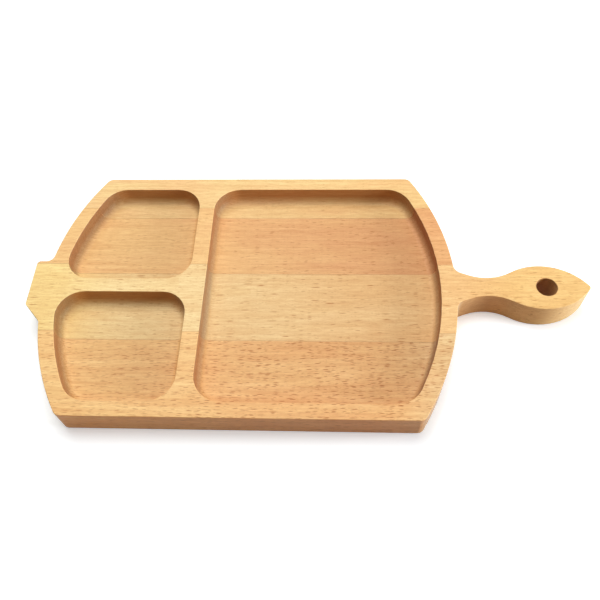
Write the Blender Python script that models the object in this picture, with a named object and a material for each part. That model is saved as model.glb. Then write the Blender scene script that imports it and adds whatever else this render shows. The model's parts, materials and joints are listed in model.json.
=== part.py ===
"""Serving board with a handle, routed from a panel of edge-glued beech staves.

Lengths are in metres. +X runs towards the handle, +Y towards the back edge and +Z up.
The origin is the middle of the footprint, on the underside.
"""

import math
from dataclasses import dataclass

import bmesh
import bpy
from mathutils import Vector

# Panel
BOARD_WIDTH = 0.220
BOARD_THICKNESS = 0.024
BODY_LENGTH = 0.3235
TAB_END_RADIUS = 0.200
HANDLE_END_RADIUS = 0.209
BODY_CORNER_RADIUS = 0.006
EDGE_EASE = 0.0005

# Tab at the left end: square behind, splayed in front
TAB_LENGTH = 0.011
TAB_BACK_REACH = 0.0225
TAB_FRONT_REACH = 0.0185
TAB_FRONT_SPLAY = math.radians(47)
TAB_CORNER_RADIUS = 0.003
TAB_ROOT_RADIUS = 0.006

# Handle, from the crown of the body's right end; its curve stretches with its length
HANDLE_LENGTH = 0.1013
HANDLE_ROOT_TAPER = math.radians(21)
HANDLE_ROOT_RADIUS = 0.008
NECK_PLACE_SHARE = 0.23
NECK_WIDTH = 0.0166
BULB_PLACE_SHARE = 0.641
BULB_WIDTH = 0.0392
TIP_RADIUS = 0.0025

# Hang hole, just past the widest place of the bulb
HANG_HOLE_PAST_BULB = 0.0034
HANG_HOLE_DIAMETER = 0.016

# Compartments, with the cross wall's place measured from the crown of the left end
RIM_WIDTH = 0.012
SPINE_WIDTH = 0.0124
CROSS_WALL_PLACE = 0.1215
CROSS_WALL_WIDTH = 0.0127
COMPARTMENT_DEPTH = 0.014
COVE_RADIUS = 0.006
SMALL_CORNER_RADIUS = 0.020
LARGE_CORNER_RADIUS = 0.0215
RIM_EASE = 0.0003

# Staves, and the line of glue between two of them
BULB_TO_GLUED_FACE = 0.0003
HANDLE_STAVE_WIDTH = 0.0612
BACK_MIDDLE_STAVE_WIDTH = 0.0575
GLUE_LINE = 0.0003

# How far a cut runs past the wood
OVERRUN = 0.005

# Facets
CORNER_STEPS = 8
ARC_STEPS = 14
EASE_STEPS = 3
COVE_STEPS = 6
HOLE_SIDES = 40
SHARP_ANGLE = math.radians(30)

# Colours of the oiled wood, linear
PALE_BEECH = (0.72, 0.50, 0.25, 1)
PINK_BEECH = (0.66, 0.41, 0.20, 1)
GOLDEN_BEECH = (0.71, 0.49, 0.23, 1)
FLECKED_BEECH = (0.67, 0.45, 0.22, 1)
OILED_ROUGHNESS = 0.45


@dataclass(frozen=True)
class Line:
    """A straight edge of a flat outline; its normal points away from what the outline encloses."""

    point: Vector
    normal: Vector

    def inset(self, distance):
        """Return the edge moved inwards."""
        return Line(self.point - self.normal * distance, self.normal)

    def nearest(self, place):
        """Return the point of the edge that is nearest to a place."""
        return place - self.normal * (place - self.point).dot(self.normal)


@dataclass(frozen=True)
class Arc:
    """A round edge of a flat outline that bulges outwards."""

    centre: Vector
    radius: float

    def inset(self, distance):
        """Return the edge moved inwards."""
        return Arc(self.centre, self.radius - distance)

    def nearest(self, place):
        """Return the point of the edge that is nearest to a place."""
        return self.centre + (place - self.centre).normalized() * self.radius


@dataclass(frozen=True)
class Corner:
    """The round between two edges of an outline; a hollow corner has a negative radius."""

    before: Line | Arc
    after: Line | Arc
    radius: float
    near: Vector

    def points(self, inset):
        """Return the corner's points on the outline moved inwards."""
        reach = self.radius - inset
        before = self.before.inset(inset)
        after = self.after.inset(inset)
        centre = crossing(before.inset(reach), after.inset(reach), self.near)
        return arc_points(centre, before.nearest(centre), after.nearest(centre), CORNER_STEPS)


def flat(x, y):
    """Return a point or direction in the plane of the board."""
    return Vector((x, y))


def mirrored(vector):
    """Return a flat vector on the other side of the board's long axis."""
    return flat(vector.x, -vector.y)


def crossing(first, second, near):
    """Return the place where two edges cross that is nearest to a given one."""
    if isinstance(first, Arc):
        first, second = second, first
    if isinstance(first, Line):
        along = flat(-first.normal.y, first.normal.x)
        if isinstance(second, Line):
            reach = (second.point - first.point).dot(second.normal) / along.dot(second.normal)
            return first.point + along * reach
        foot = first.nearest(second.centre)
        half_chord = math.sqrt(second.radius**2 - (foot - second.centre).length_squared)
    else:
        between = second.centre - first.centre
        reach = (between.length_squared + first.radius**2 - second.radius**2) / (2 * between.length)
        foot = first.centre + between.normalized() * reach
        along = flat(-between.y, between.x).normalized()
        half_chord = math.sqrt(first.radius**2 - reach**2)
    sides = (foot + along * half_chord, foot - along * half_chord)
    return min(sides, key=lambda side: (side - near).length)


def arc_points(centre, start, end, steps):
    """Return evenly spaced points from start to end, the short way round a centre."""
    first = start - centre
    last = end - centre
    turn = math.atan2(first.x * last.y - first.y * last.x, first.dot(last))
    points = []
    for step in range(steps + 1):
        angle = turn * step / steps
        across = flat(-first.y, first.x)
        points.append(centre + first * math.cos(angle) + across * math.sin(angle))
    return points


def outline(corners, inset):
    """Return the closed outline through rounded corners, moved inwards."""
    rounds = [corner.points(inset) for corner in corners]
    points = []
    for corner, current, following in zip(corners, rounds, rounds[1:] + rounds[:1]):
        points += current
        if isinstance(corner.after, Arc):
            points += arc_points(corner.after.centre, current[-1], following[0], ARC_STEPS)[1:-1]
    return points


def tab_end_x():
    """Return the place of the tab's end, half the overall length to the left."""
    return -(TAB_LENGTH + BODY_LENGTH + HANDLE_LENGTH) / 2


def left_crown_x():
    """Return the place of the crown of the body's left end."""
    return tab_end_x() + TAB_LENGTH


def right_crown_x():
    """Return the place of the crown of the body's right end."""
    return left_crown_x() + BODY_LENGTH


def left_end():
    """Return the arc of the body's left end."""
    return Arc(flat(left_crown_x() + TAB_END_RADIUS, 0), TAB_END_RADIUS)


def right_end():
    """Return the arc of the body's right end."""
    return Arc(flat(right_crown_x() - HANDLE_END_RADIUS, 0), HANDLE_END_RADIUS)


def neck_x():
    """Return the place where the handle is narrowest."""
    return right_crown_x() + HANDLE_LENGTH * NECK_PLACE_SHARE


def bulb_x():
    """Return the place where the handle is widest."""
    return right_crown_x() + HANDLE_LENGTH * BULB_PLACE_SHARE


def bulb_arc():
    """Return the back arc of the bulb, which runs from the neck into the rounded tip."""
    bulb_half = BULB_WIDTH / 2
    tip_reach = right_crown_x() + HANDLE_LENGTH - TIP_RADIUS - bulb_x()
    radius = (tip_reach**2 + bulb_half**2 - TIP_RADIUS**2) / (2 * (bulb_half - TIP_RADIUS))
    return Arc(flat(bulb_x(), bulb_half - radius), radius)


def neck_round():
    """Return the centre and radius of the hollow behind the neck, which runs into the bulb."""
    bulb = bulb_arc()
    along = bulb_x() - neck_x()
    across = NECK_WIDTH / 2 - bulb.centre.y
    radius = (along**2 + across**2 - bulb.radius**2) / (2 * (bulb.radius - across))
    return flat(neck_x(), NECK_WIDTH / 2 + radius), radius


def board_corners():
    """Return the corners of the board's outline, clockwise from the tab as seen from above."""
    half_width = BOARD_WIDTH / 2
    tab_end = Line(flat(tab_end_x(), 0), flat(-1, 0))
    tab_back = Line(flat(tab_end_x(), TAB_BACK_REACH), flat(0, 1))
    splay = flat(-math.sin(TAB_FRONT_SPLAY), -math.cos(TAB_FRONT_SPLAY))
    tab_front = Line(flat(tab_end_x(), -TAB_FRONT_REACH), splay)
    back_edge = Line(flat(0, half_width), flat(0, 1))
    front_edge = Line(flat(0, -half_width), flat(0, -1))

    bulb_back = bulb_arc()
    bulb_front = Arc(mirrored(bulb_back.centre), bulb_back.radius)
    neck_centre, neck_radius = neck_round()
    taper = flat(math.sin(HANDLE_ROOT_TAPER), math.cos(HANDLE_ROOT_TAPER))
    root_back = Line(neck_centre - taper * neck_radius, taper)
    root_front = Line(mirrored(root_back.point), mirrored(taper))

    left, right = left_end(), right_end()
    left_corner = flat(left_crown_x(), half_width)
    right_corner = flat(right_crown_x(), half_width)
    root_corner = flat(right_crown_x(), NECK_WIDTH / 2)
    return [
        Corner(tab_end, tab_back, TAB_CORNER_RADIUS, flat(tab_end_x(), TAB_BACK_REACH)),
        Corner(tab_back, left, -TAB_ROOT_RADIUS, flat(left_crown_x(), TAB_BACK_REACH)),
        Corner(left, back_edge, BODY_CORNER_RADIUS, left_corner),
        Corner(back_edge, right, BODY_CORNER_RADIUS, right_corner),
        Corner(right, root_back, -HANDLE_ROOT_RADIUS, root_corner),
        Corner(root_back, bulb_back, -neck_radius, neck_centre),
        Corner(bulb_back, bulb_front, TIP_RADIUS, flat(right_crown_x() + HANDLE_LENGTH, 0)),
        Corner(bulb_front, root_front, -neck_radius, mirrored(neck_centre)),
        Corner(root_front, right, -HANDLE_ROOT_RADIUS, mirrored(root_corner)),
        Corner(right, front_edge, BODY_CORNER_RADIUS, mirrored(right_corner)),
        Corner(front_edge, left, BODY_CORNER_RADIUS, mirrored(left_corner)),
        Corner(left, tab_front, -TAB_ROOT_RADIUS, flat(left_crown_x(), -TAB_FRONT_REACH)),
        Corner(tab_front, tab_end, TAB_CORNER_RADIUS, flat(tab_end_x(), -TAB_FRONT_REACH)),
    ]


def small_compartment_corners(side):
    """Return the corners of a small compartment; side is 1 for the back one and -1 for the front."""
    crown = left_end().inset(RIM_WIDTH)
    outer_y = side * (BOARD_WIDTH / 2 - RIM_WIDTH)
    inner_y = side * SPINE_WIDTH / 2
    wall_x = left_crown_x() + CROSS_WALL_PLACE - CROSS_WALL_WIDTH / 2
    crown_x = left_crown_x() + RIM_WIDTH
    outer = Line(flat(wall_x, outer_y), flat(0, side))
    wall = Line(flat(wall_x, outer_y), flat(1, 0))
    inner = Line(flat(wall_x, inner_y), flat(0, -side))
    return [
        Corner(crown, outer, SMALL_CORNER_RADIUS, flat(crown_x, outer_y)),
        Corner(outer, wall, SMALL_CORNER_RADIUS, flat(wall_x, outer_y)),
        Corner(wall, inner, SMALL_CORNER_RADIUS, flat(wall_x, inner_y)),
        Corner(inner, crown, SMALL_CORNER_RADIUS, flat(crown_x, inner_y)),
    ]


def large_compartment_corners():
    """Return the corners of the large compartment, which fills the handle end of the body."""
    crown = right_end().inset(RIM_WIDTH)
    outer_y = BOARD_WIDTH / 2 - RIM_WIDTH
    wall_x = left_crown_x() + CROSS_WALL_PLACE + CROSS_WALL_WIDTH / 2
    crown_x = right_crown_x() - RIM_WIDTH
    back = Line(flat(wall_x, outer_y), flat(0, 1))
    front = Line(flat(wall_x, -outer_y), flat(0, -1))
    wall = Line(flat(wall_x, 0), flat(-1, 0))
    return [
        Corner(wall, back, LARGE_CORNER_RADIUS, flat(wall_x, outer_y)),
        Corner(back, crown, LARGE_CORNER_RADIUS, flat(crown_x, outer_y)),
        Corner(crown, front, LARGE_CORNER_RADIUS, flat(crown_x, -outer_y)),
        Corner(front, wall, LARGE_CORNER_RADIUS, flat(wall_x, -outer_y)),
    ]


def quarter(steps):
    """Return the sine and cosine of evenly spaced angles from 0 to 90 degrees."""
    angles = [math.pi / 2 * step / steps for step in range(steps + 1)]
    return [(math.sin(angle), math.cos(angle)) for angle in angles]


def eased_levels():
    """Return the insets and heights of the panel's section, from the underside to the top."""
    lower = [(EDGE_EASE * (1 - sine), EDGE_EASE * (1 - cosine)) for sine, cosine in quarter(EASE_STEPS)]
    return lower + [(inset, BOARD_THICKNESS - height) for inset, height in reversed(lower)]


def compartment_levels():
    """Return the insets and heights of a compartment's section: cove, wall and eased rim."""
    floor = BOARD_THICKNESS - COMPARTMENT_DEPTH
    cove = [
        (COVE_RADIUS * (1 - sine), floor + COVE_RADIUS * (1 - cosine))
        for sine, cosine in quarter(COVE_STEPS)
    ]
    rim = [
        (-RIM_EASE * (1 - cosine), BOARD_THICKNESS - RIM_EASE * (1 - sine))
        for sine, cosine in quarter(EASE_STEPS)
    ]
    return cove + rim + [(-RIM_EASE, BOARD_THICKNESS + OVERRUN)]


def hang_hole_levels():
    """Return the radii and heights of the hang hole's section, eased at both faces."""
    radius = HANG_HOLE_DIAMETER / 2
    upper = [
        (radius + RIM_EASE * (1 - cosine), BOARD_THICKNESS - RIM_EASE * (1 - sine))
        for sine, cosine in quarter(EASE_STEPS)
    ]
    upper.append((radius + RIM_EASE, BOARD_THICKNESS + OVERRUN))
    return [(reach, BOARD_THICKNESS - height) for reach, height in reversed(upper)] + upper


def raised(points, height):
    """Return a flat outline as points at a height."""
    return [point.to_3d() + Vector((0, 0, height)) for point in points]


def ring(centre, radius):
    """Return the outline of a circle."""
    turns = [2 * math.pi * side / HOLE_SIDES for side in range(HOLE_SIDES)]
    return [centre + flat(math.cos(turn), math.sin(turn)) * radius for turn in turns]


def loft(name, sections):
    """Return an object that is skinned over closed sections, with flat ends."""
    shape = bmesh.new()
    loops = []
    for section in sections:
        verts = [shape.verts.new(place) for place in section]
        loops.append([shape.edges.new(pair) for pair in zip(verts, verts[1:] + verts[:1])])
    for lower, upper in zip(loops, loops[1:]):
        bmesh.ops.bridge_loops(shape, edges=lower + upper)
    for end in (loops[0], loops[-1]):
        bmesh.ops.contextual_create(shape, geom=end)
    bmesh.ops.recalc_face_normals(shape, faces=shape.faces)
    return mesh_object(name, shape)


def block(name, low, high):
    """Return a box between two opposite corners."""
    shape = bmesh.new()
    bmesh.ops.create_cube(shape, size=1)
    bmesh.ops.scale(shape, vec=high - low, verts=shape.verts)
    bmesh.ops.translate(shape, vec=(low + high) / 2, verts=shape.verts)
    return mesh_object(name, shape)


def mesh_object(name, shape):
    """Return an object with a shape as its mesh, shaded smooth except at its sharp edges."""
    mesh = bpy.data.meshes.new(name)
    shape.to_mesh(mesh)
    shape.free()
    mesh.shade_smooth()
    mesh.set_sharp_from_angle(angle=SHARP_ANGLE)
    thing = bpy.data.objects.new(name, mesh)
    bpy.context.scene.collection.objects.link(thing)
    return thing


def guide(thing):
    """Keep an object as a tool that shapes the staves, and return it."""
    thing.hide_render = True
    thing.display_type = 'WIRE'
    return thing


def panel_profile():
    """Return the solid inside the board's outline, with its edges eased."""
    corners = board_corners()
    sections = [raised(outline(corners, inset), height) for inset, height in eased_levels()]
    return guide(loft("panel_profile", sections))


def compartment_cutter(name, corners):
    """Return the solid that hollows one compartment."""
    sections = [raised(outline(corners, inset), height) for inset, height in compartment_levels()]
    return guide(loft(name, sections))


def hang_hole_cutter():
    """Return the solid that bores the hang hole."""
    centre = flat(bulb_x() + HANG_HOLE_PAST_BULB, 0)
    sections = [raised(ring(centre, radius), height) for radius, height in hang_hole_levels()]
    return guide(loft("hang_hole_cutter", sections))


def beech(name, colour):
    """Return a material for oiled beech."""
    material = bpy.data.materials.new(name)
    material.use_nodes = True
    shader = material.node_tree.nodes["Principled BSDF"]
    shader.inputs["Base Color"].default_value = colour
    shader.inputs["Roughness"].default_value = OILED_ROUGHNESS
    shader.inputs["Metallic"].default_value = 0
    material.diffuse_color = colour
    return material


def add_boolean(thing, tool, operation):
    """Shape an object with a tool."""
    modifier = thing.modifiers.new(tool.name, 'BOOLEAN')
    modifier.operation = operation
    modifier.solver = 'EXACT'
    modifier.object = tool


def stave(name, front, back, colour, profile, cutters):
    """Return one stave between its front and back faces, cut to the outline and routed."""
    low = Vector((tab_end_x() - OVERRUN, front, -OVERRUN))
    high = Vector((OVERRUN - tab_end_x(), back, BOARD_THICKNESS + OVERRUN))
    plank = block(name, low, high)
    plank.data.materials.append(beech(name + "_wood", colour))
    add_boolean(plank, profile, 'INTERSECT')
    for cutter in cutters:
        add_boolean(plank, cutter, 'DIFFERENCE')
    return plank


def stave_faces():
    """Return the front and back face of each stave, from the back of the board to its front."""
    edge = BOARD_WIDTH / 2 + OVERRUN
    handle_back = BULB_WIDTH / 2 + BULB_TO_GLUED_FACE
    handle_front = handle_back - HANDLE_STAVE_WIDTH
    middle_front = handle_back + GLUE_LINE
    middle_back = middle_front + BACK_MIDDLE_STAVE_WIDTH
    return {
        "back_stave": (middle_back + GLUE_LINE, edge),
        "back_middle_stave": (middle_front, middle_back),
        "handle_stave": (handle_front, handle_back),
        "front_stave": (-edge, handle_front - GLUE_LINE),
    }


def clear_scene():
    """Remove every object that the scene starts with."""
    for thing in list(bpy.data.objects):
        bpy.data.objects.remove(thing, do_unlink=True)


def main():
    """Build the board."""
    clear_scene()
    board = bpy.data.objects.new("serving_board", None)
    bpy.context.scene.collection.objects.link(board)
    profile = panel_profile()
    back_small = compartment_cutter("back_small_compartment_cutter", small_compartment_corners(1))
    front_small = compartment_cutter("front_small_compartment_cutter", small_compartment_corners(-1))
    large = compartment_cutter("large_compartment_cutter", large_compartment_corners())
    hang_hole = hang_hole_cutter()
    cutters = {
        "back_stave": (back_small, large),
        "back_middle_stave": (back_small, large),
        "handle_stave": (back_small, front_small, large, hang_hole),
        "front_stave": (front_small, large),
    }
    colours = {
        "back_stave": PALE_BEECH,
        "back_middle_stave": PINK_BEECH,
        "handle_stave": GOLDEN_BEECH,
        "front_stave": FLECKED_BEECH,
    }
    for name, (front, back) in stave_faces().items():
        plank = stave(name, front, back, colours[name], profile, cutters[name])
        plank.parent = board


if __name__ == "__main__":
    main()
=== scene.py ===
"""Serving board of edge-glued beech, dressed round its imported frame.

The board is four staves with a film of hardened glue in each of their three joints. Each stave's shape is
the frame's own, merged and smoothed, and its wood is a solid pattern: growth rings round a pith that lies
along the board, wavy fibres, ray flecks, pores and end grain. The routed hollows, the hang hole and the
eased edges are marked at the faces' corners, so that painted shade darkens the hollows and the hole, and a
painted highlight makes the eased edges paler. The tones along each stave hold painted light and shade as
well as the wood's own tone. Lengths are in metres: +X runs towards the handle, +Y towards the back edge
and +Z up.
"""

import json
import logging
import math
from dataclasses import dataclass
from enum import Enum
from typing import Optional, Union

import bmesh
import bpy
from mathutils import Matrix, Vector


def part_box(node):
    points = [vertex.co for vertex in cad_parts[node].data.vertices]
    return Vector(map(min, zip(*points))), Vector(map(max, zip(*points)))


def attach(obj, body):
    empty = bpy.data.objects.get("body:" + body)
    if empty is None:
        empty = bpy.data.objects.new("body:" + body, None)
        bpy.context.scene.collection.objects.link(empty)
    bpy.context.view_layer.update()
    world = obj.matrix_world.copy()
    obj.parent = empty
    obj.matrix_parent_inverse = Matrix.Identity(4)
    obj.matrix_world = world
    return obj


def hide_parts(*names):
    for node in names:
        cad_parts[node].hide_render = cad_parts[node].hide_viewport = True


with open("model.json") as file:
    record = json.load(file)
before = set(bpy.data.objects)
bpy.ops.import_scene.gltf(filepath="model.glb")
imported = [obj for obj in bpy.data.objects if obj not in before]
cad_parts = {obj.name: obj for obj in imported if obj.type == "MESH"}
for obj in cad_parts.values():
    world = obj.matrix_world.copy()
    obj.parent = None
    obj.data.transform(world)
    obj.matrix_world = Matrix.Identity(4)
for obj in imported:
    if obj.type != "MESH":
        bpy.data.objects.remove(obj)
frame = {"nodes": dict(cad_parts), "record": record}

LOG = logging.getLogger("serving_board")
BODY = "root"
MM = 0.001
MERGE_DISTANCE = 0.002 * MM
PLANE_TOLERANCE = 0.02 * MM
LEVEL_NORMAL = 0.999
# Marks at the face corners: how much painted shade the hollows and the hang hole get, and which faces are
# eased edges with a painted highlight.
HOLLOW_SHADE_MARK = "hollow_shade"
EASED_MARK = "eased"

Colour = tuple[float, float, float]
Triple = tuple[float, float, float]
Span = tuple[float, float]
Socket = bpy.types.NodeSocket
Feed = Union[bpy.types.NodeSocket, float, Triple]

ORIGIN: Triple = (0.0, 0.0, 0.0)
UNTURNED: Triple = (0.0, 0.0, 0.0)
UNSTRETCHED: Triple = (1.0, 1.0, 1.0)
WHITE: Colour = (1.0, 1.0, 1.0)

# Nearly all values of a noise pattern lie in this span, round its middle.
NOISE_REACH: Span = (0.3, 0.7)
NOISE_MIDDLE = 0.5

# A wave texture of scale 1 has one ring in this length.
WAVE_TURN = 2.0 * math.pi / 20.0

# A Mix node's colour sockets share their names with its number sockets, so they go by number.
MIX_FIRST = 6
MIX_SECOND = 7
MIX_RESULT = 2


@dataclass(frozen=True)
class NoiseLook:
    """One noise pattern: how fine it is, how many finer octaves it has and how strong these are.

    Stretch is what the coordinates are multiplied by, so a small first number draws the pattern out along
    the board. Shift is how far the pattern moves on each axis for a seed of 1.
    """

    fineness: float
    octaves: float = 2.0
    harshness: float = 0.5
    stretch: Triple = UNSTRETCHED
    shift: Triple = ORIGIN


class NodeBench:
    """Lays nodes in one node tree and joins them."""

    def __init__(self, tree: bpy.types.NodeTree) -> None:
        """Clears the tree, so that only what is laid here is in it.

        Args:
            tree: The node tree of a material, lamp or world.
        """
        self.tree = tree
        self.tree.nodes.clear()

    def lay(
        self, kind: str, settings: Optional[dict] = None, feeds: Optional[dict] = None
    ) -> bpy.types.Node:
        """Adds a node, sets its options and feeds its inputs.

        Args:
            kind: The node's type name, such as "ShaderNodeTexNoise".
            settings: The node's own options by name.
            feeds: A value or an output socket for each input, by the input's name or number.

        Returns:
            The new node.
        """
        node = self.tree.nodes.new(kind)
        for option, value in (settings or {}).items():
            setattr(node, option, value)
        for slot, value in (feeds or {}).items():
            self.feed(node.inputs[slot], value)
        return node

    def feed(self, socket: Socket, value: Feed) -> None:
        """Joins an output to the socket, or sets the socket's own value.

        Args:
            socket: The input to feed.
            value: An output socket, a number, or a row of numbers.
        """
        if isinstance(value, bpy.types.NodeSocket):
            self.tree.links.new(value, socket)
        elif socket.type == "RGBA" and len(value) == 3:
            socket.default_value = (*value, 1.0)
        else:
            socket.default_value = value

    def maths(self, operation: str, first: Feed, second: Feed = 0.0, clamp: bool = False) -> Socket:
        """Works one sum on two numbers.

        Args:
            operation: The Math node's operation.
            first: The first number or socket.
            second: The second number or socket.
            clamp: Whether the result is held between 0 and 1.

        Returns:
            The result's socket.
        """
        settings = {"operation": operation, "use_clamp": clamp}
        return self.lay("ShaderNodeMath", settings, {0: first, 1: second}).outputs[0]

    def vectors(self, operation: str, first: Feed, second: Feed) -> Socket:
        """Works one sum on two vectors or colours.

        Args:
            operation: The Vector Math node's operation.
            first: The first vector or socket.
            second: The second vector or socket; a number where the operation is SCALE.

        Returns:
            The result's socket.
        """
        slot = "Scale" if operation == "SCALE" else 1
        feeds = {0: first, slot: second}
        return self.lay("ShaderNodeVectorMath", {"operation": operation}, feeds).outputs[0]

    def tinted(self, colour: Feed, shares: Feed) -> Socket:
        """Multiplies a colour by its shares of red, green and blue."""
        return self.vectors("MULTIPLY", colour, shares)

    def ramp(
        self, value: Feed, low: float, high: float, to_low: float = 0.0, to_high: float = 1.0
    ) -> Socket:
        """Maps a range of numbers smoothly onto another.

        Args:
            value: The number's socket.
            low: The input that gives to_low.
            high: The input that gives to_high.
            to_low: The result at and below low.
            to_high: The result at and above high.

        Returns:
            The result's socket.
        """
        settings = {"interpolation_type": "SMOOTHSTEP"}
        feeds = {"Value": value, "From Min": low, "From Max": high, "To Min": to_low, "To Max": to_high}
        return self.lay("ShaderNodeMapRange", settings, feeds).outputs["Result"]

    def blend(self, share: Feed, first: Feed, second: Feed) -> Socket:
        """Mixes two colours.

        Args:
            share: How much of the second colour shows, from 0 to 1.
            first: The first colour or socket.
            second: The second colour or socket.

        Returns:
            The mixed colour's socket.
        """
        feeds = {"Factor": share, MIX_FIRST: first, MIX_SECOND: second}
        return self.lay("ShaderNodeMix", {"data_type": "RGBA"}, feeds).outputs[MIX_RESULT]

    def place(
        self, coordinates: Socket, stretch: Triple, at: Triple = ORIGIN, turn: Triple = UNTURNED
    ) -> Socket:
        """Moves coordinates to a pattern's own axes and stretches them.

        Args:
            coordinates: The coordinates' socket.
            stretch: What each axis is multiplied by.
            at: The pattern's origin, in the given coordinates.
            turn: The pattern's axes as an XYZ rotation in radians.

        Returns:
            The new coordinates' socket.
        """
        spread = tuple(1.0 / factor for factor in stretch)
        feeds = {"Vector": coordinates, "Location": at, "Rotation": turn, "Scale": spread}
        return self.lay("ShaderNodeMapping", {"vector_type": "TEXTURE"}, feeds).outputs["Vector"]

    def noise(
        self, coordinates: Socket, look: NoiseLook, seed: float = 0.0, turn: Triple = UNTURNED
    ) -> Socket:
        """Lays a noise pattern whose value runs from about 0 to 1.

        Args:
            coordinates: The coordinates' socket.
            look: The pattern's fineness, stretch and shift.
            seed: Which part of the pattern is taken.
            turn: The pattern's axes as an XYZ rotation in radians.

        Returns:
            The value's socket.
        """
        at = tuple(seed * share for share in look.shift)
        feeds = {
            "Vector": self.place(coordinates, look.stretch, at, turn),
            "Scale": look.fineness,
            "Detail": look.octaves,
            "Roughness": look.harshness,
        }
        return self.lay("ShaderNodeTexNoise", {"noise_dimensions": "3D"}, feeds).outputs["Fac"]

    def seat(self) -> Socket:
        """Reads where a point lies, in the object's own coordinates."""
        return self.lay("ShaderNodeTexCoord").outputs["Object"]

    def axis(self, vector: Socket, name: str) -> Socket:
        """Reads a vector's X, Y or Z."""
        return self.lay("ShaderNodeSeparateXYZ", None, {0: vector}).outputs[name]

    def mark(self, name: str) -> Socket:
        """Reads a mark that the mesh carries."""
        return self.lay("ShaderNodeAttribute", {"attribute_name": name}).outputs["Fac"]

    def looked_at(self) -> Socket:
        """Tells looking rays, which show the background, from those that light the board.

        Returns:
            1 for a ray from the camera, or one that gloss or glass sends on, and 0 for others.
        """
        path = self.lay("ShaderNodeLightPath").outputs
        looking = self.maths("MAXIMUM", path["Is Camera Ray"], path["Is Glossy Ray"])
        return self.maths("MAXIMUM", looking, path["Is Transmission Ray"])

    def cover(self, shader: bpy.types.Node) -> None:
        """Makes a shader the material's surface."""
        self.lay("ShaderNodeOutputMaterial", None, {"Surface": shader.outputs[0]})


def new_material(name: str) -> tuple[bpy.types.Material, NodeBench]:
    """Starts a material.

    Args:
        name: The material's name.

    Returns:
        The material, and the bench for its nodes.
    """
    material = bpy.data.materials.new(name)
    material.use_nodes = True
    return material, NodeBench(material.node_tree)


class Sawing(Enum):
    """How a stave was sawn from its log: where the pith lies, across from the stave and in height."""

    FLAT = (0.012, -0.115)
    RIFT = (0.085, -0.090)
    QUARTER = (0.150, -0.020)


@dataclass(frozen=True)
class FleckLayer:
    """Short marks along the grain, all of about one size.

    The cell is the mean room that each mark has along, across and through the stave, reach is the largest
    mark's share of that room, and share is how many of the cells hold a mark. Of the marks, full_share show
    at the layer's whole strength, smallest is the least mark's size as a share of the largest one's, and
    core is how far out a mark stays at its darkest, as a share of its size.
    """

    cell: Triple
    reach: float
    share: float
    strength: float
    full_share: float = 0.6
    smallest: float = 0.5
    core: float = 0.40

    def marks(self, bench: NodeBench, grain: Socket, at: Triple, lean: Triple) -> Socket:
        """Lays the layer's marks.

        Args:
            bench: Where the nodes go.
            grain: The coordinates that the grain follows.
            at: The origin of the layer's cells.
            lean: How the fibres lean, as an XYZ rotation in radians.

        Returns:
            The marks' mask, from 0 to the layer's strength.
        """
        cells = bench.place(grain, tuple(1.0 / length for length in self.cell), at, lean)
        settings = {"voronoi_dimensions": "3D", "feature": "F1"}
        spots = bench.lay("ShaderNodeTexVoronoi", settings, {"Vector": cells, "Scale": 1.0}).outputs
        chance = bench.lay("ShaderNodeSeparateColor", None, {0: spots["Color"]}).outputs
        whole_from = 1.0 - self.full_share * self.share
        chosen = bench.ramp(chance[0], 1.0 - self.share, whole_from, 0.0, self.strength)
        size = bench.ramp(chance[1], 0.0, 1.0, self.smallest * self.reach, self.reach)
        away = bench.maths("DIVIDE", spots["Distance"], size)
        spindle = bench.ramp(away, self.core, 1.0, 1.0, 0.0)
        return bench.maths("MULTIPLY", spindle, chosen)


@dataclass(frozen=True)
class Tone:
    """A stave's colour at one place along the board, as shares of its own colour; tones hold painted light
    and shade as well as the wood's own tone.
    """

    x: float
    shares: Colour


SWAY = NoiseLook(fineness=30.0, octaves=1.0, stretch=(0.45, 1.0, 1.0), shift=(1.0, 0.5, 0.0))
RING_WIDTHS = NoiseLook(fineness=28.0, stretch=(0.5, 1.0, 1.0), shift=(1.0, 0.0, 0.0))
PATCHES = NoiseLook(
    fineness=46.0, octaves=3.0, harshness=0.55, stretch=(0.22, 1.0, 1.0), shift=(0.37, 1.0, 0.0)
)
STREAKS = NoiseLook(
    fineness=330.0, octaves=3.0, harshness=0.6, stretch=(0.030, 1.0, 1.0), shift=(0.0, 1.0, 0.0)
)
THREADS = NoiseLook(fineness=900.0, harshness=0.6, stretch=(0.090, 1.0, 1.0), shift=(1.0, 0.0, 1.0))
HAIRS = NoiseLook(fineness=2600.0, harshness=0.6, stretch=(0.090, 1.0, 1.0), shift=(1.0, 0.0, 1.0))
END_PORES = NoiseLook(fineness=2600.0, harshness=0.6)
END_RAYS = NoiseLook(fineness=1500.0, stretch=(1.0, 1.0, 0.12), shift=(0.0, 1.0, 0.0))
GLUE_PATCHES = NoiseLook(fineness=160.0, octaves=3.0, stretch=(0.4, 1.0, 1.0))


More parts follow.
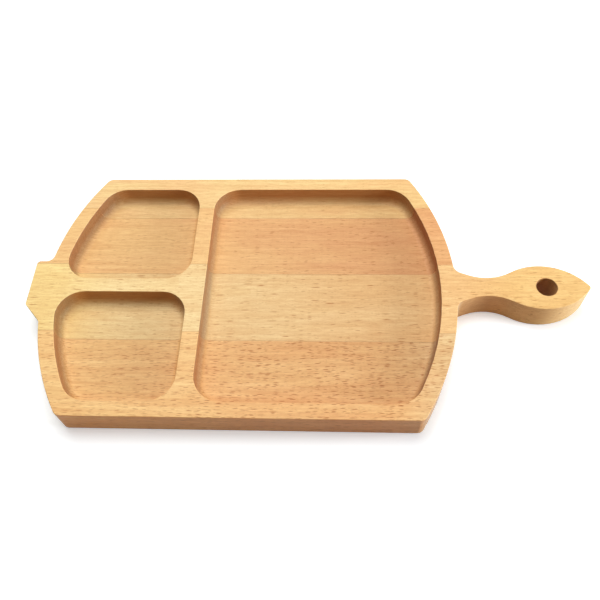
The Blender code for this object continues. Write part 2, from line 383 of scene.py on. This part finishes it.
@dataclass(frozen=True)
class BeechFinish:
    """Oiled, satin beech of one stave, with its own tone, rings and flecks.

    Early and late wood alternate in the rings, and patches of the stave turn to the blush. Tones change the
    colour of the top along the stave, partly as the wood's own tone and partly as painted light;
    side_light_and_shade paints light and shade on its upright faces, and end_grain_and_shade_tones gives its
    end grain its own tint and, on some staves, painted shade and light.
    """

    name: str
    early: Colour
    late: Colour
    blush: Colour
    fleck: Colour
    tones: tuple[Tone, ...]
    sawing: Sawing
    middle_y: float
    lean: Triple
    ring_width: float
    ring_strength: float
    ring_wander: float
    streak_strength: float
    blush_strength: float
    seed: float
    flecks: tuple[FleckLayer, ...]
    left_flecks: float = 0.62
    # Upright faces get painted shade, darker and redder than the top; the end grain's tint is its own.
    side_light_and_shade: tuple[Tone, ...] = (Tone(0.0, (0.98, 0.92, 0.87)),)
    end_grain_and_shade_tones: tuple[Tone, ...] = (Tone(0.0, (0.88, 0.93, 1.06)),)

    # From here on, every stave has the same.
    end_face: Span = (0.25, 0.80)
    side_face: Span = (0.35, 0.95)
    wander: float = 2.4 * MM
    wander_height: float = 0.6
    log_stretch: Triple = (0.06, 1.0, 1.0)
    ring_octaves: float = 2.0
    ring_waver: float = 0.16
    ring_harshness: float = 0.55
    late_wood: Span = (0.35, 0.96)
    faintest_ring: float = 0.35
    blushing: Span = (0.38, 0.72)
    thread_strength: float = 0.070
    hair_strength: float = 0.055
    fibre_tint: Triple = (0.7, 1.3, 1.8)
    fleck_rise: Span = (-0.17, 0.0)
    side_flecks: float = 0.45
    layer_shift: float = 0.3
    end_pitting: float = 0.05
    end_level: Span = (0.86, 0.98)
    # Painted shade in the routed hollows and the hang hole, as shares of the colour.
    in_shade: Colour = (0.57, 0.41, 0.34)
    # A painted highlight on the eased edges, as shares of the colour.
    eased: Colour = (1.08, 1.10, 1.14)
    roughness: float = 0.47
    hair_span: Span = (0.2, 0.8)
    hair_roughness: float = 0.05
    end_roughness: float = 0.12
    hollow_roughness: float = 0.10
    thread_height: float = 0.6
    fleck_depth: float = 0.6
    fibre_depth: float = 0.05 * MM
    relief_strength: float = 0.5
    refraction: float = 1.47
    gloss: float = 0.28
    film: float = 0.04
    film_roughness: float = 0.30

    def material(self) -> bpy.types.Material:
        """Makes the stave's wood.

        Returns:
            The material.
        """
        wood, bench = new_material(self.name)
        seat = bench.seat()
        grain = self.grain_seat(bench, seat)
        fibres = self.fibres(bench, grain)
        along, across = self.facing(bench)
        room = self.fleck_room(bench, seat, along, across)
        flecks = bench.maths("MULTIPLY", self.fleck_mask(bench, grain), room)
        hollow_shade = bench.mark(HOLLOW_SHADE_MARK)

        planed = self.planed_colour(bench, seat, grain, fibres, flecks)
        # Upright faces take painted light and shade; end faces take the end grain's own tint, and on some
        # staves painted shade and light.
        side = bench.tinted(planed, self.tone_at(bench, seat, self.side_light_and_shade))
        end = self.end_colour(bench, seat, planed)
        colour = bench.blend(along, bench.blend(across, planed, side), end)
        # Painted shade darkens the routed hollows and the hang hole.
        colour = bench.blend(hollow_shade, colour, bench.tinted(colour, self.in_shade))
        # A painted highlight makes the eased edges paler.
        colour = bench.blend(bench.mark(EASED_MARK), colour, bench.tinted(colour, self.eased))

        feeds = {
            "Base Color": colour,
            "Roughness": self.rough(bench, fibres, along, hollow_shade),
            "Normal": self.relief(bench, fibres, flecks),
            "IOR": self.refraction,
            "Specular IOR Level": self.gloss,
            "Coat Weight": self.film,
            "Coat Roughness": self.film_roughness,
        }
        bench.cover(bench.lay("ShaderNodeBsdfPrincipled", None, feeds))
        return wood

    def planed_colour(
        self,
        bench: NodeBench,
        seat: Socket,
        grain: Socket,
        fibres: tuple[Socket, Socket, Socket],
        flecks: Socket,
    ) -> Socket:
        """Mixes the colour of the wood's planed top.

        Args:
            bench: Where the nodes go.
            seat: The object's coordinates.
            grain: The coordinates that the grain follows.
            fibres: The streaks, the threads and the hairs.
            flecks: The flecks' mask.

        Returns:
            The colour.
        """
        colour = bench.blend(self.rings(bench, grain), self.early, self.late)
        colour = bench.blend(self.drift(bench, seat), colour, self.blush)
        # The tones along the stave are partly the wood's own tone and partly painted sheen, paler towards
        # the left end.
        colour = bench.tinted(colour, self.tone_at(bench, seat, self.tones))
        strengths = (self.streak_strength, self.thread_strength, self.hair_strength)
        for pattern, strength in zip(fibres, strengths):
            colour = self.shaded(bench, colour, pattern, strength)
        return bench.blend(flecks, colour, self.fleck)

    def grain_seat(self, bench: NodeBench, seat: Socket) -> Socket:
        """Bends the coordinates a little, so that the grain wanders as a grown board's does.

        Args:
            bench: Where the nodes go.
            seat: The object's coordinates.

        Returns:
            The coordinates that the grain follows.
        """
        sway = bench.maths("SUBTRACT", bench.noise(seat, SWAY, self.seed), NOISE_MIDDLE)
        # The sway reaches half to either side, so twice as much brings it to the whole wander.
        swing = bench.maths("MULTIPLY", sway, 2.0 * self.wander)
        shift = bench.vectors("SCALE", (0.0, 1.0, self.wander_height), swing)
        return bench.vectors("ADD", seat, shift)

    def facing(self, bench: NodeBench) -> tuple[Socket, Socket]:
        """Finds the faces that cut across the fibres, and the upright ones along them.

        Args:
            bench: Where the nodes go.

        Returns:
            How far a face looks along the board, and how far it looks across it, each from 0 to 1.
        """
        normal = bench.lay("ShaderNodeNewGeometry").outputs["Normal"]
        along = bench.ramp(bench.maths("ABSOLUTE", bench.axis(normal, "X")), *self.end_face)
        across = bench.ramp(bench.maths("ABSOLUTE", bench.axis(normal, "Y")), *self.side_face)
        return along, across

    def rings(self, bench: NodeBench, grain: Socket) -> Socket:
        """Lays the growth rings round the pith.

        Args:
            bench: Where the nodes go.
            grain: The coordinates that the grain follows.

        Returns:
            How much late wood shows, from 0 to the rings' strength.
        """
        across, height = self.sawing.value
        pith = (0.0, self.middle_y + across, height)
        feeds = {
            "Vector": bench.place(grain, self.log_stretch, pith, self.lean),
            "Scale": WAVE_TURN / self.ring_width,
            "Distortion": self.ring_wander,
            "Detail": self.ring_octaves,
            "Detail Scale": self.ring_waver,
            "Detail Roughness": self.ring_harshness,
            "Phase Offset": self.seed,
        }
        settings = {"wave_type": "RINGS", "rings_direction": "X", "wave_profile": "SAW"}
        growth = bench.lay("ShaderNodeTexWave", settings, feeds).outputs["Fac"]
        late = bench.ramp(growth, *self.late_wood)
        widths = bench.noise(grain, RING_WIDTHS, self.seed)
        uneven = bench.ramp(widths, *NOISE_REACH, self.faintest_ring, 1.0)
        return bench.maths("MULTIPLY", late, bench.maths("MULTIPLY", uneven, self.ring_strength))

    def drift(self, bench: NodeBench, seat: Socket) -> Socket:
        """Lays the broad patches where the wood blushes.

        Args:
            bench: Where the nodes go.
            seat: The object's coordinates.

        Returns:
            The blush's share.
        """
        patches = bench.noise(seat, PATCHES, self.seed)
        return bench.ramp(patches, *self.blushing, 0.0, self.blush_strength)

    def tone_at(self, bench: NodeBench, seat: Socket, tones: tuple[Tone, ...]) -> Feed:
        """Lays the slow change of colour along the stave, from each tone to the next one.

        Args:
            bench: Where the nodes go.
            seat: The object's coordinates.
            tones: The tones, from left to right.

        Returns:
            The shares of the colour, or their socket.
        """
        shares = tones[0].shares
        for before, after in zip(tones, tones[1:]):
            step = bench.ramp(bench.axis(seat, "X"), before.x, after.x)
            shares = bench.blend(step, shares, after.shares)
        return shares

    def fibres(self, bench: NodeBench, grain: Socket) -> tuple[Socket, Socket, Socket]:
        """Lays the fibres that run along the stave.

        Args:
            bench: Where the nodes go.
            grain: The coordinates that the grain follows.

        Returns:
            The broad streaks, the threads and the hairs, each about 0 to 1.
        """
        streaks = bench.noise(grain, STREAKS, self.seed, self.lean)
        threads = bench.noise(grain, THREADS, self.seed, self.lean)
        hairs = bench.noise(grain, HAIRS, self.seed, self.lean)
        return streaks, threads, hairs

    def shaded(self, bench: NodeBench, colour: Socket, pattern: Socket, strength: float) -> Socket:
        """Darkens and lightens a colour by a pattern, round its own level; the darker wood is redder.

        Args:
            bench: Where the nodes go.
            colour: The colour to shade.
            pattern: A value about 0 to 1.
            strength: The largest change, as a share.

        Returns:
            The shaded colour.
        """
        deep = tuple(1.0 - share * strength for share in self.fibre_tint)
        pale = tuple(1.0 + share * strength for share in self.fibre_tint)
        return bench.tinted(colour, bench.blend(bench.ramp(pattern, *NOISE_REACH), deep, pale))

    def fleck_mask(self, bench: NodeBench, grain: Socket) -> Socket:
        """Lays the layers of flecks and pores over each other.

        Args:
            bench: Where the nodes go.
            grain: The coordinates that the grain follows.

        Returns:
            The mask of all the marks.
        """
        mask = 0.0
        for number, layer in enumerate(self.flecks):
            at = (self.seed + number, self.layer_shift * number, 0.0)
            mask = bench.maths("MAXIMUM", mask, layer.marks(bench, grain, at, self.lean))
        return mask

    def fleck_room(self, bench: NodeBench, seat: Socket, along: Socket, across: Socket) -> Socket:
        """Says how strongly flecks show: in full on top, faintly on upright sides, not on end grain.

        Args:
            bench: Where the nodes go.
            seat: The object's coordinates.
            along: How far a face looks along the board.
            across: How far a face looks across the board.

        Returns:
            The flecks' share, which rises from left_flecks at the left end to 1 at the middle.
        """
        ends = bench.ramp(bench.axis(seat, "X"), *self.fleck_rise, self.left_flecks, 1.0)
        sides = bench.ramp(across, 0.0, 1.0, 1.0, self.side_flecks)
        room = bench.maths("MULTIPLY", ends, sides)
        return bench.maths("MULTIPLY", room, bench.maths("SUBTRACT", 1.0, along))

    def end_colour(self, bench: NodeBench, seat: Socket, colour: Socket) -> Socket:
        """Turns the planed wood's colour into the end grain's, with its pores, its fine rays and its tones,
        which on some staves hold painted shade and light.

        Args:
            bench: Where the nodes go.
            seat: The object's coordinates.
            colour: The planed wood's colour.

        Returns:
            The end grain's colour.
        """
        pores = bench.noise(seat, END_PORES, self.seed)
        rays = bench.noise(seat, END_RAYS, self.seed)
        pitted = bench.ramp(pores, *NOISE_REACH, -self.end_pitting, self.end_pitting)
        level = bench.maths("ADD", pitted, bench.ramp(rays, *NOISE_REACH, *self.end_level))
        shares = self.tone_at(bench, seat, self.end_grain_and_shade_tones)
        return bench.vectors("SCALE", bench.tinted(colour, shares), level)

    def rough(
        self, bench: NodeBench, fibres: tuple[Socket, Socket, Socket], along: Socket, hollow_shade: Socket
    ) -> Socket:
        """Lays the roughness, which hairs vary, and which end grain and the routed hollows raise.

        Args:
            bench: Where the nodes go.
            fibres: The streaks, the threads and the hairs.
            along: How far a face looks along the board.
            hollow_shade: How much painted shade the routed hollows and the hang hole get.

        Returns:
            The roughness.
        """
        hairs = bench.ramp(fibres[2], *self.hair_span, -self.hair_roughness, self.hair_roughness)
        rough = bench.maths("ADD", hairs, self.roughness)
        rough = bench.maths("ADD", rough, bench.maths("MULTIPLY", along, self.end_roughness))
        in_shade = bench.maths("MULTIPLY", hollow_shade, self.hollow_roughness)
        return bench.maths("ADD", rough, in_shade, clamp=True)

    def relief(
        self, bench: NodeBench, fibres: tuple[Socket, Socket, Socket], flecks: Socket
    ) -> Socket:
        """Raises the fibres a little and sinks the flecks.

        Args:
            bench: Where the nodes go.
            fibres: The streaks, the threads and the hairs.
            flecks: The flecks' mask.

        Returns:
            The surface's normal.
        """
        threads = bench.maths("MULTIPLY", fibres[1], self.thread_height)
        raised = bench.maths("ADD", fibres[2], threads)
        height = bench.maths("SUBTRACT", raised, bench.maths("MULTIPLY", flecks, self.fleck_depth))
        feeds = {"Strength": self.relief_strength, "Distance": self.fibre_depth, "Height": height}
        return bench.lay("ShaderNodeBump", None, feeds).outputs[0]


@dataclass(frozen=True)
class GlueFinish:
    """Hardened wood glue, amber, as it shows in a joint; it is thinner and paler in places."""

    name: str = "hardened_glue"
    pale: Colour = (0.58, 0.330, 0.130)
    dark: Colour = (0.42, 0.215, 0.075)
    pale_to_dark: Span = (0.35, 0.65)
    roughness: Span = (0.36, 0.52)
    gloss: float = 0.3

    def material(self) -> bpy.types.Material:
        """Makes the glue.

        Returns:
            The material.
        """
        glue, bench = new_material(self.name)
        patches = bench.noise(bench.seat(), GLUE_PATCHES)
        feeds = {
            "Base Color": bench.blend(bench.ramp(patches, *self.pale_to_dark), self.pale, self.dark),
            "Roughness": bench.ramp(patches, *NOISE_REACH, *self.roughness),
            "Specular IOR Level": self.gloss,
        }
        bench.cover(bench.lay("ShaderNodeBsdfPrincipled", None, feeds))
        return glue


@dataclass(frozen=True)
class ShadeAndHighlightMarks:
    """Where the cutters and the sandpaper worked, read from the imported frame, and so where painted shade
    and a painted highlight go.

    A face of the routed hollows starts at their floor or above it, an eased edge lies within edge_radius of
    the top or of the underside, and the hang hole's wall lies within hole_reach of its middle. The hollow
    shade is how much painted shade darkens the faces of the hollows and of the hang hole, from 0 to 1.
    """

    floor_z: float
    top_z: float
    hole_x: float
    hole_reach: float = 9.5 * MM
    edge_radius: float = 0.55 * MM
    # Painted shade on the hollows' floors and walls and on the hang hole's wall, from 0 to 1.
    floor_shade: float = 0.23
    wall_shade: float = 0.95
    cove_height: float = 6.0 * MM
    hole_shade: float = 0.85

    @classmethod
    def from_frame(cls) -> "ShadeAndHighlightMarks":
        """Reads the floor's height, the top and the hang hole's place from the frame.

        Returns:
            The marks' sizes for this board.
        """
        record = frame["record"]
        floor = next(mount for mount in record["mounts"] if mount["name"] == "large_compartment_floor")
        hole = next(gap for gap in record["physics"]["openings"] if gap["name"] == "hang_hole")
        low, high = hole["box_m"]
        return cls(floor["pos_m"][2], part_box("handle_stave")[1].z, (low[0] + high[0]) / 2.0)

    def is_eased(self, face: bmesh.types.BMFace) -> bool:
        """Says whether a face is part of an eased edge.

        Args:
            face: The face.

        Returns:
            True if it slopes, close to the top or to the underside.
        """
        heights = [vert.co.z for vert in face.verts]
        flat = max(heights) - min(heights) < PLANE_TOLERANCE
        near_top = min(heights) > self.top_z - self.edge_radius
        near_base = max(heights) < self.edge_radius
        return not flat and (near_top or near_base)

    def hollow_shade(self, face: bmesh.types.BMFace, loop: bmesh.types.BMLoop) -> float:
        """Says how much painted shade a corner of a face gets.

        Args:
            face: The face.
            loop: Its corner.

        Returns:
            0 on planed wood, floor_shade on a floor, and from there up its cove to wall_shade.
        """
        heights = [vert.co.z for vert in face.verts]
        flat = abs(face.normal.z) > LEVEL_NORMAL
        if flat and abs(heights[0] - self.floor_z) > PLANE_TOLERANCE:
            return 0.0
        middle = face.calc_center_median()
        if math.hypot(middle.x - self.hole_x, middle.y) < self.hole_reach:
            return self.hole_shade
        if min(heights) < self.floor_z - PLANE_TOLERANCE or self.is_eased(face):
            return 0.0
        # The painted shade deepens up the cove, from the floor's share to the wall's.
        rise = min(1.0, max(0.0, loop.vert.co.z - self.floor_z) / self.cove_height)
        return self.floor_shade + (self.wall_shade - self.floor_shade) * math.sqrt(rise)

    def write(self, body: bmesh.types.BMesh) -> None:
        """Writes both marks at the corners of every face.

        Args:
            body: The stave's merged mesh.
        """
        # The painted shade's mark, and the eased edges' mark that carries the painted highlight.
        hollow_shade = body.loops.layers.float.new(HOLLOW_SHADE_MARK)
        eased = body.loops.layers.float.new(EASED_MARK)
        body.normal_update()
        for face in body.faces:
            edge = 1.0 if self.is_eased(face) else 0.0
            for loop in face.loops:
                loop[hollow_shade] = self.hollow_shade(face, loop)
                loop[eased] = edge


@dataclass
class Stave:
    """One length of beech in the panel, in the place of its frame node."""

    node: str
    slot: str
    finish: BeechFinish
    crease: float = math.radians(40.0)
    shading_weight: int = 60

    def build(self, marks: ShadeAndHighlightMarks) -> bpy.types.Object:
        """Makes the stave from a merged copy of its node, and dresses it.

        Args:
            marks: Where painted shade and the painted highlight go.

        Returns:
            The stave's object.
        """
        body = self.merged()
        marks.write(body)
        for edge in body.edges:
            edge.smooth = len(edge.link_faces) == 2 and edge.calc_face_angle(math.pi) < self.crease
        for face in body.faces:
            face.smooth = True
        piece = finished(self.node + "_wood", body, self.finish.material())
        weigh = piece.modifiers.new("even_shading", "WEIGHTED_NORMAL")
        weigh.mode = "FACE_AREA"
        weigh.weight = self.shading_weight
        weigh.keep_sharp = True
        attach(piece, BODY)
        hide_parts(self.node)
        return piece

    def merged(self) -> bmesh.types.BMesh:
        """Copies the node's mesh and merges its loose triangles into one skin.

        Returns:
            The merged mesh, which the caller frees.
        """
        body = bmesh.new()
        body.from_mesh(frame["nodes"][self.node].data)
        bmesh.ops.remove_doubles(body, verts=body.verts, dist=MERGE_DISTANCE)
        return body


@dataclass
class GlueFilm:
    """The film of glue in one joint, drawn from the joint face of the stave in front of it."""

    name: str
    stave: Stave
    glue: bpy.types.Material
    thickness: float = 0.3 * MM
    recess: float = 0.06 * MM

    def build(self) -> bpy.types.Object:
        """Makes the film from the stave's joint face.

        Returns:
            The film's object.
        """
        joint_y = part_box(self.stave.node)[1].y
        film = self.stave.merged()
        others = [face for face in film.faces if not self.on_joint(face, joint_y)]
        bmesh.ops.delete(film, geom=others, context="FACES")
        rim = bmesh.ops.inset_region(
            film, faces=film.faces[:], thickness=self.recess, use_boundary=True, use_even_offset=True
        )
        bmesh.ops.delete(film, geom=rim["faces"], context="FACES")
        grown = bmesh.ops.extrude_face_region(film, geom=film.faces[:], use_keep_orig=True)
        back = [item for item in grown["geom"] if isinstance(item, bmesh.types.BMVert)]
        bmesh.ops.translate(film, verts=back, vec=(0.0, self.thickness, 0.0))
        bmesh.ops.recalc_face_normals(film, faces=film.faces[:])
        piece = finished(self.name, film, self.glue)
        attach(piece, BODY)
        return piece

    def on_joint(self, face: bmesh.types.BMFace, joint_y: float) -> bool:
        """Says whether a face lies in the joint's plane."""
        return all(abs(vert.co.y - joint_y) < PLANE_TOLERANCE for vert in face.verts)


def finished(name: str, shape: bmesh.types.BMesh, material: bpy.types.Material) -> bpy.types.Object:
    """Turns a shape into an object in the scene.

    Args:
        name: The object's name.
        shape: The shape, which is freed.
        material: What it is made of.

    Returns:
        The object.
    """
    mesh = bpy.data.meshes.new(name)
    shape.to_mesh(mesh)
    shape.free()
    mesh.materials.append(material)
    piece = bpy.data.objects.new(name, mesh)
    bpy.context.scene.collection.objects.link(piece)
    return piece


@dataclass(frozen=True)
class BoardPanel:
    """The board itself: four staves and the glue between them."""

    glue: GlueFinish = GlueFinish()

    def build(self) -> list[bpy.types.Object]:
        """Builds the staves from front to back, and then the films between them.

        Returns:
            The panel's objects.
        """
        front = Stave("front_stave", "flecked_beech", FLECKED_BEECH)
        handle = Stave("handle_stave", "golden_beech", GOLDEN_BEECH)
        back_middle = Stave("back_middle_stave", "pink_beech", PINK_BEECH)
        back = Stave("back_stave", "pale_beech", PALE_BEECH)
        marks = ShadeAndHighlightMarks.from_frame()
        pieces = [stave.build(marks) for stave in (front, handle, back_middle, back)]
        glue = self.glue.material()
        films = (
            GlueFilm("front_glue_line", front, glue),
            GlueFilm("handle_glue_line", handle, glue),
            GlueFilm("back_glue_line", back_middle, glue),
        )
        pieces.extend(film.build() for film in films)
        return pieces


@dataclass(frozen=True)
class TableFinish:
    """White studio table: to the camera it is plain white with the board's shadow on it.

    It has the colour bounce for light on its way to the board, and the colour seen for the camera. The lamps
    light it round the board only, so its own glow rises from near_lift to far_lift between the distances
    near and far from the middle.
    """

    name: str = "white_table"
    bounce: Colour = (0.46, 0.36, 0.33)
    seen: Colour = (0.92, 0.94, 0.93)
    near_lift: float = 0.32
    far_lift: float = 0.92
    near: float = 0.42
    far: float = 1.10

    def material(self) -> bpy.types.Material:
        """Makes the table's surface.

        Returns:
            The material.
        """
        table, bench = new_material(self.name)
        length = {"operation": "LENGTH"}
        away = bench.lay("ShaderNodeVectorMath", length, {0: bench.seat()}).outputs["Value"]
        lift = bench.ramp(away, self.near, self.far, self.near_lift, self.far_lift)
        plain = bench.lay("ShaderNodeBsdfDiffuse", None, {"Color": self.bounce})
        white = bench.lay("ShaderNodeBsdfDiffuse", None, {"Color": self.seen})
        glow = bench.lay("ShaderNodeEmission", None, {"Color": WHITE, "Strength": lift})
        bright = bench.lay("ShaderNodeAddShader", None, {0: white.outputs[0], 1: glow.outputs[0]})
        feeds = {0: bench.looked_at(), 1: plain.outputs[0], 2: bright.outputs[0]}
        bench.cover(bench.lay("ShaderNodeMixShader", None, feeds))
        return table


@dataclass(frozen=True)
class SoftBox:
    """A square studio lamp, which hangs at its place and looks at its aim; its power is in watts."""

    name: str
    place: Triple
    aim: Triple
    side: float
    power: float
    tint: Colour = WHITE

    def build(self) -> bpy.types.Object:
        """Hangs the lamp.

        Returns:
            The lamp's object.
        """
        lamp = bpy.data.lights.new(self.name, "AREA")
        lamp.shape = "SQUARE"
        lamp.size = self.side
        lamp.energy = self.power
        lamp.color = self.tint
        box = bpy.data.objects.new(self.name, lamp)
        bpy.context.scene.collection.objects.link(box)
        look = Vector(self.aim) - Vector(self.place)
        box.location = self.place
        box.rotation_euler = look.to_track_quat("-Z", "Y").to_euler()
        return box


@dataclass
class Studio:
    """The white table, the soft lamps and the room's light."""

    table_reach: float = 6.0
    room_light: float = 0.115
    lamps: tuple[SoftBox, ...] = (
        SoftBox("overhead_box", place=(-0.22, 0.52, 1.50), aim=ORIGIN, side=1.3, power=25.5),
        SoftBox(
            "right_box",
            place=(1.30, -0.15, 0.28),
            aim=(0.05, 0.0, 0.02),
            side=0.5,
            power=17.2,
            tint=(0.94, 1.0, 1.12),
        ),
    )

    def build(self) -> None:
        """Lays the table, hangs the lamps and lights the room."""
        self.lay_table()
        for lamp in self.lamps:
            lamp.build()
        self.light_room()

    def lay_table(self) -> None:
        """Makes the table top that the board lies on."""
        top = bmesh.new()
        bmesh.ops.create_grid(top, x_segments=1, y_segments=1, size=self.table_reach)
        finished("white_table_top", top, TableFinish().material())

    def light_room(self) -> None:
        """Gives the room an even light, and a white background to look at."""
        world = bpy.data.worlds.new("studio_room")
        world.use_nodes = True
        bench = NodeBench(world.node_tree)
        strength = bench.ramp(bench.looked_at(), 0.0, 1.0, self.room_light, 1.0)
        glow = bench.lay("ShaderNodeBackground", None, {"Color": WHITE, "Strength": strength})
        bench.lay("ShaderNodeOutputWorld", None, {"Surface": glow.outputs[0]})
        bpy.context.scene.world = world


@dataclass(frozen=True)
class PhotoCamera:
    """The camera at the photograph's place, with the photograph's lens."""

    place: Triple = (0.02071, -0.28182, 0.45672)
    turn: Triple = (0.556324, 0.037276, 0.030963)
    focal_pixels: float = 664.2
    frame_pixels: float = 600.0
    sensor: float = 36.0
    nearest: float = 0.01
    farthest: float = 50.0

    def build(self) -> None:
        """Sets the camera up and makes it the scene's own."""
        lens = bpy.data.cameras.new("photo_camera")
        lens.sensor_width = self.sensor
        lens.lens = self.sensor * self.focal_pixels / self.frame_pixels
        lens.clip_start = self.nearest
        lens.clip_end = self.farthest
        camera = bpy.data.objects.new("photo_camera", lens)
        bpy.context.scene.collection.objects.link(camera)
        camera.location = self.place
        camera.rotation_euler = self.turn
        bpy.context.scene.camera = camera


FINE_FLECKS = FleckLayer(cell=(0.0064, 0.00072, 0.00120), reach=0.49, share=0.84, strength=1.0)
LONG_FLECKS = FleckLayer(cell=(0.0100, 0.00086, 0.0022), reach=0.47, share=0.36, strength=0.60)
PORES = FleckLayer(cell=(0.0026, 0.0005, 0.0010), reach=0.44, share=0.50, strength=0.35)

PALE_BEECH = BeechFinish(
    name="pale_beech_wood",
    early=(0.86, 0.560, 0.230),
    late=(0.79, 0.470, 0.170),
    blush=(0.84, 0.470, 0.190),
    fleck=(0.46, 0.175, 0.020),
    # Paler towards the left end: partly the wood's own tone, partly painted sheen.
    tones=(
        Tone(-0.170, (1.0, 1.05, 1.09)),
        Tone(0.130, (0.98, 0.97, 0.94)),
    ),
    sawing=Sawing.RIFT,
    middle_y=0.094,
    lean=(0.0, 0.012, -0.008),
    ring_width=0.0029,
    ring_strength=0.50,
    ring_wander=3.0,
    streak_strength=0.045,
    blush_strength=0.75,
    seed=3.1,
    flecks=(
        FleckLayer(cell=(0.0062, 0.0010, 0.0020), reach=0.44, share=0.14, strength=0.50),
        PORES,
    ),
)
PINK_BEECH = BeechFinish(
    name="pink_beech_wood",
    early=(0.82, 0.460, 0.185),
    late=(0.72, 0.360, 0.125),
    blush=(0.78, 0.390, 0.160),
    fleck=(0.43, 0.135, 0.012),
    # Paler towards the left end: partly the wood's own tone, partly painted sheen.
    tones=(
        Tone(-0.170, (1.05, 1.17, 1.14)),
        Tone(0.130, (0.95, 0.875, 0.855)),
    ),
    sawing=Sawing.QUARTER,
    middle_y=0.049,
    lean=(0.0, -0.010, 0.010),
    ring_width=0.0034,
    ring_strength=0.28,
    ring_wander=2.6,
    streak_strength=0.060,
    blush_strength=0.6,
    seed=7.7,
    flecks=(
        FleckLayer(cell=(0.0060, 0.00095, 0.0020), reach=0.45, share=0.44, strength=0.62),
        PORES,
    ),
)
GOLDEN_BEECH = BeechFinish(
    name="golden_beech_wood",
    early=(0.86, 0.550, 0.215),
    late=(0.78, 0.455, 0.155),
    blush=(0.81, 0.470, 0.165),
    fleck=(0.43, 0.135, 0.008),
    # Paler towards the left end: partly the wood's own tone, partly painted sheen.
    tones=(
        Tone(-0.205, (1.04, 1.16, 1.14)),
        Tone(-0.140, (1.0, 1.13, 1.30)),
        Tone(-0.085, (1.0, 1.11, 1.30)),
        Tone(0.115, (1.0, 0.97, 1.05)),
        Tone(0.170, (1.0, 0.985, 0.94)),
    ),
    sawing=Sawing.FLAT,
    middle_y=-0.010,
    lean=(0.0, 0.020, 0.006),
    ring_width=0.0026,
    ring_strength=0.45,
    ring_wander=3.4,
    streak_strength=0.045,
    blush_strength=0.6,
    seed=1.9,
    flecks=(
        FleckLayer(cell=(0.0060, 0.00092, 0.0018), reach=0.45, share=0.30, strength=0.60),
        FleckLayer(cell=(0.0110, 0.00095, 0.0028), reach=0.47, share=0.15, strength=0.95),
        PORES,
    ),
    # Painted shade on the handle's sides, deepest round the root and the neck, and painted light towards the
    # tip.
    side_light_and_shade=(
        Tone(0.050, (0.97, 0.83, 0.70)),
        Tone(0.120, (0.87, 0.76, 0.65)),
        Tone(0.152, (0.96, 0.80, 0.66)),
        Tone(0.170, (1.11, 1.04, 0.97)),
        Tone(0.200, (1.12, 1.18, 1.30)),
    ),
    # Painted shade on the end faces beside the neck, and painted light at the handle's tip.
    end_grain_and_shade_tones=(
        Tone(0.125, (0.80, 0.84, 0.96)),
        Tone(0.200, (1.02, 1.12, 1.36)),
    ),
    left_flecks=0.90,
)
FLECKED_BEECH = BeechFinish(
    name="flecked_beech_wood",
    early=(0.84, 0.495, 0.190),
    late=(0.74, 0.400, 0.130),
    blush=(0.78, 0.405, 0.140),
    fleck=(0.38, 0.095, 0.001),
    # Paler towards the left end and at the right-front corner: partly the wood's own tone, partly painted
    # sheen and a painted highlight.
    tones=(
        Tone(-0.170, (1.04, 1.10, 1.115)),
        Tone(0.060, (0.99, 0.955, 0.955)),
        Tone(0.115, (0.955, 1.10, 1.36)),
    ),
    sawing=Sawing.FLAT,
    middle_y=-0.076,
    lean=(0.0, -0.016, 0.010),
    ring_width=0.0030,
    ring_strength=0.50,
    ring_wander=3.4,
    streak_strength=0.075,
    blush_strength=0.8,
    seed=5.3,
    flecks=(FINE_FLECKS, LONG_FLECKS, PORES),
    # Painted light on the front wall towards the left end, and painted shade, darker and redder, further
    # right.
    side_light_and_shade=(
        Tone(-0.160, (1.20, 0.98, 0.76)),
        Tone(-0.060, (1.08, 0.88, 0.75)),
        Tone(0.040, (1.03, 0.85, 0.75)),
        Tone(0.125, (1.02, 0.90, 0.84)),
    ),
    # The end grain's own tint at the left, turning to painted shade towards the right-front corner.
    end_grain_and_shade_tones=(
        Tone(-0.100, (0.88, 0.93, 1.06)),
        Tone(0.090, (0.69, 0.70, 0.84)),
    ),
    left_flecks=0.66,
)


def main() -> None:
    """Builds the camera, the board and the studio."""
    logging.basicConfig(level=logging.INFO, format="%(name)s: %(message)s")
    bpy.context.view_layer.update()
    PhotoCamera().build()
    LOG.info("camera set")
    for piece in BoardPanel().build():
        LOG.info("%s: %d faces", piece.name, len(piece.data.polygons))
    Studio().build()
    LOG.info("table, lamps and room light set")
    bpy.context.scene.view_settings.view_transform = "Standard"


if __name__ == "__main__":
    main()
